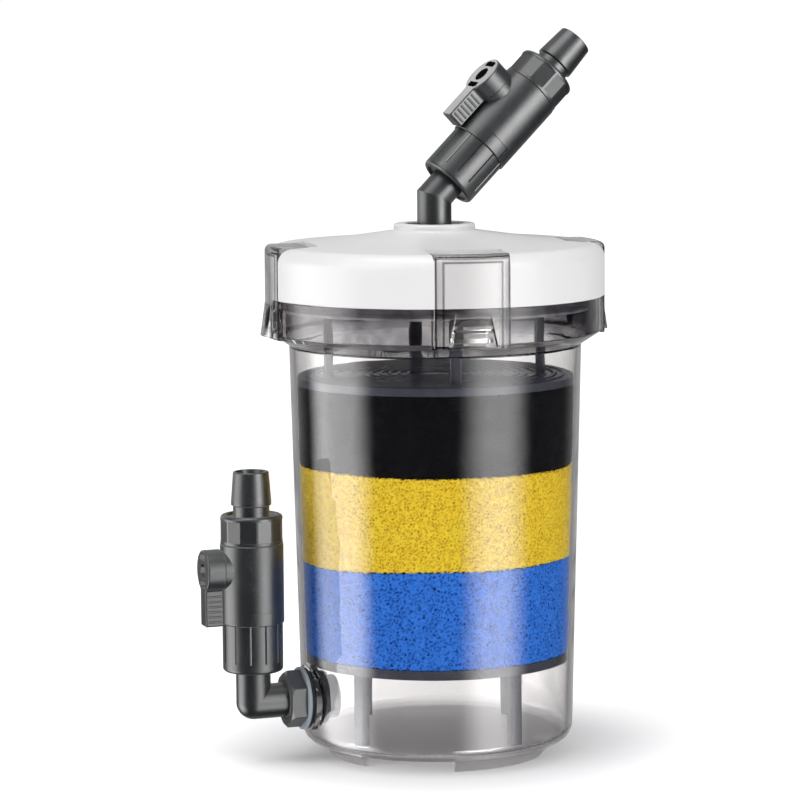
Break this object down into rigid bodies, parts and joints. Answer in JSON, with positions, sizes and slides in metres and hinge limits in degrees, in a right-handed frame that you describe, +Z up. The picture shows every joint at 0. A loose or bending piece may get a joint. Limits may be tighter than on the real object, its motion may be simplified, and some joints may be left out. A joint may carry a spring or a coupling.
{
  "type": "canister filter",
  "caption": "External canister filter: clear barrel with stacked sponge media, hinged-clip lid, and swivelling union ball valves with hose tails for inlet and outlet.",
  "frame": {"origin": "canister's axis at the plane of its feet", "axes": "+Z up along the canister's axis, -Y the front, the inlet valve towards -X"},
  "size_m": [0.1794, 0.1516, 0.3164],
  "materials": {
    "smoky_clear": "clear smoky moulded plastic, glossy",
    "clear_plastic": "clear moulded plastic, glossy",
    "white_plastic": "white moulded plastic, glossy",
    "charcoal_plastic": "charcoal moulded plastic, satin",
    "dark_plastic": "black moulded plastic, satin",
    "black_rubber": "matte rubber",
    "pale_washer": "pale grey-blue, satin",
    "white_seat": "white, smooth",
    "blue_foam": "open-cell foam",
    "yellow_foam": "open-cell foam",
    "black_foam": "open-cell foam"
  },
  "bodies": {
    "canister": {"barrel": "smoky_clear", "bottom_grid": "dark_plastic", "blue_sponge": "blue_foam", "yellow_sponge": "yellow_foam", "black_sponge": "black_foam", "top_grid": "dark_plastic", "port_bulkhead": "dark_plastic", "port_inner_gasket": "black_rubber", "port_outer_gasket": "black_rubber", "port_washer": "pale_washer", "port_hex_nut": "charcoal_plastic"},
    "lid": {"lid": "white_plastic", "lid_seal": "black_rubber", "outlet_bush": "dark_plastic", "outlet_elbow_seal": "black_rubber"},
    "inlet_elbow": {"inlet_elbow": "charcoal_plastic", "inlet_elbow_o_ring": "black_rubber"},
    "outlet_elbow": {"outlet_elbow": "charcoal_plastic"},
    "clip_1": {"clip_1": "clear_plastic"},
    "clip_2": {"clip_2": "clear_plastic"},
    "clip_3": {"clip_3": "clear_plastic"},
    "clip_4": {"clip_4": "clear_plastic"},
    "inlet_valve": {"inlet_valve_body": "charcoal_plastic", "inlet_ball_seats": "white_seat", "inlet_seat_carrier": "dark_plastic", "inlet_stem_seal": "black_rubber", "inlet_union_gaskets": "black_rubber", "inlet_hose_tail": "charcoal_plastic"},
    "inlet_handle": {"inlet_valve_handle": "charcoal_plastic", "inlet_valve_stem": "dark_plastic", "inlet_ball": "white_seat"},
    "inlet_lower_nut": {"inlet_lower_union_nut": "charcoal_plastic"},
    "inlet_upper_nut": {"inlet_upper_union_nut": "charcoal_plastic"},
    "outlet_valve": {"outlet_valve_body": "charcoal_plastic", "outlet_ball_seats": "white_seat", "outlet_seat_carrier": "dark_plastic", "outlet_stem_seal": "black_rubber", "outlet_union_gaskets": "black_rubber", "outlet_hose_tail": "charcoal_plastic"},
    "outlet_handle": {"outlet_valve_handle": "charcoal_plastic", "outlet_valve_stem": "dark_plastic", "outlet_ball": "white_seat"},
    "outlet_lower_nut": {"outlet_lower_union_nut": "charcoal_plastic"},
    "outlet_upper_nut": {"outlet_upper_union_nut": "charcoal_plastic"}
  },
  "joints": [
    {"name": "lid_lift", "type": "slide", "parent": "canister", "child": "lid", "axis": [0, 0, 1], "range_m": [0, 0.015]},
    {"name": "clip_1_hinge", "type": "hinge", "parent": "lid", "child": "clip_1", "pos_m": [0.01196, -0.05624, 0.2216], "axis": [-0.9781, -0.2079, 0], "range_deg": [0, 90]},
    {"name": "clip_2_hinge", "type": "hinge", "parent": "lid", "child": "clip_2", "pos_m": [0.05624, 0.01196, 0.2216], "axis": [0.2079, -0.9781, 0], "range_deg": [0, 90]},
    {"name": "clip_3_hinge", "type": "hinge", "parent": "lid", "child": "clip_3", "pos_m": [-0.01196, 0.05624, 0.2216], "axis": [0.9781, 0.2079, 0], "range_deg": [0, 90]},
    {"name": "clip_4_hinge", "type": "hinge", "parent": "lid", "child": "clip_4", "pos_m": [-0.05624, -0.01196, 0.2216], "axis": [-0.2079, 0.9781, 0], "range_deg": [0, 90]},
    {"name": "outlet_elbow_swivel", "type": "hinge", "parent": "lid", "child": "outlet_elbow", "pos_m": [0, 0, 0.22], "axis": [0, 0, 1], "range_deg": [-180, 180]},
    {"name": "outlet_valve_turn", "type": "hinge", "parent": "outlet_elbow", "child": "outlet_valve", "pos_m": [0.00535, 0.00205, 0.24973], "axis": [0.6601, 0.2534, 0.7071], "range_deg": [-180, 180]},
    {"name": "outlet_handle_turn", "type": "hinge", "parent": "outlet_valve", "child": "outlet_handle", "pos_m": [0.03485, 0.01338, 0.28134], "axis": [0.6264, 0.3338, -0.7044], "range_deg": [0, 90]},
    {"name": "inlet_elbow_swivel", "type": "hinge", "parent": "canister", "child": "inlet_elbow", "pos_m": [-0.06578, -0.02394, 0.0275], "axis": [-0.9397, -0.342, 0], "range_deg": [-90, 90]},
    {"name": "inlet_valve_turn", "type": "hinge", "parent": "inlet_elbow", "child": "inlet_valve", "pos_m": [-0.07987, -0.02907, 0.0415], "axis": [0, 0, 1], "range_deg": [-90, 90]},
    {"name": "inlet_handle_turn", "type": "hinge", "parent": "inlet_valve", "child": "inlet_handle", "pos_m": [-0.07987, -0.02907, 0.0862], "axis": [0.9397, 0.342, 0], "range_deg": [0, 90]},
    {"name": "inlet_lower_nut_turn", "type": "hinge", "parent": "inlet_valve", "child": "inlet_lower_nut", "pos_m": [-0.07987, -0.02907, 0.0515], "axis": [0, 0, 1], "range_deg": [0, 720]},
    {"name": "inlet_upper_nut_turn", "type": "hinge", "parent": "inlet_valve", "child": "inlet_upper_nut", "pos_m": [-0.07987, -0.02907, 0.1035], "axis": [0, 0, 1], "range_deg": [0, 720]},
    {"name": "outlet_lower_nut_turn", "type": "hinge", "parent": "outlet_valve", "child": "outlet_lower_nut", "pos_m": [0.01195, 0.00459, 0.2568], "axis": [0.6601, 0.2534, 0.7071], "range_deg": [0, 720]},
    {"name": "outlet_upper_nut_turn", "type": "hinge", "parent": "outlet_valve", "child": "outlet_upper_nut", "pos_m": [0.04628, 0.01776, 0.29357], "axis": [0.6601, 0.2534, 0.7071], "range_deg": [0, 720]}
  ],
  "couplings": [
    {"joint": "clip_1_hinge", "follows": "lid_lift", "rad_per_m": 104.7},
    {"joint": "clip_2_hinge", "follows": "lid_lift", "rad_per_m": 104.7},
    {"joint": "clip_3_hinge", "follows": "lid_lift", "rad_per_m": 104.7},
    {"joint": "clip_4_hinge", "follows": "lid_lift", "rad_per_m": 104.7}
  ]
}
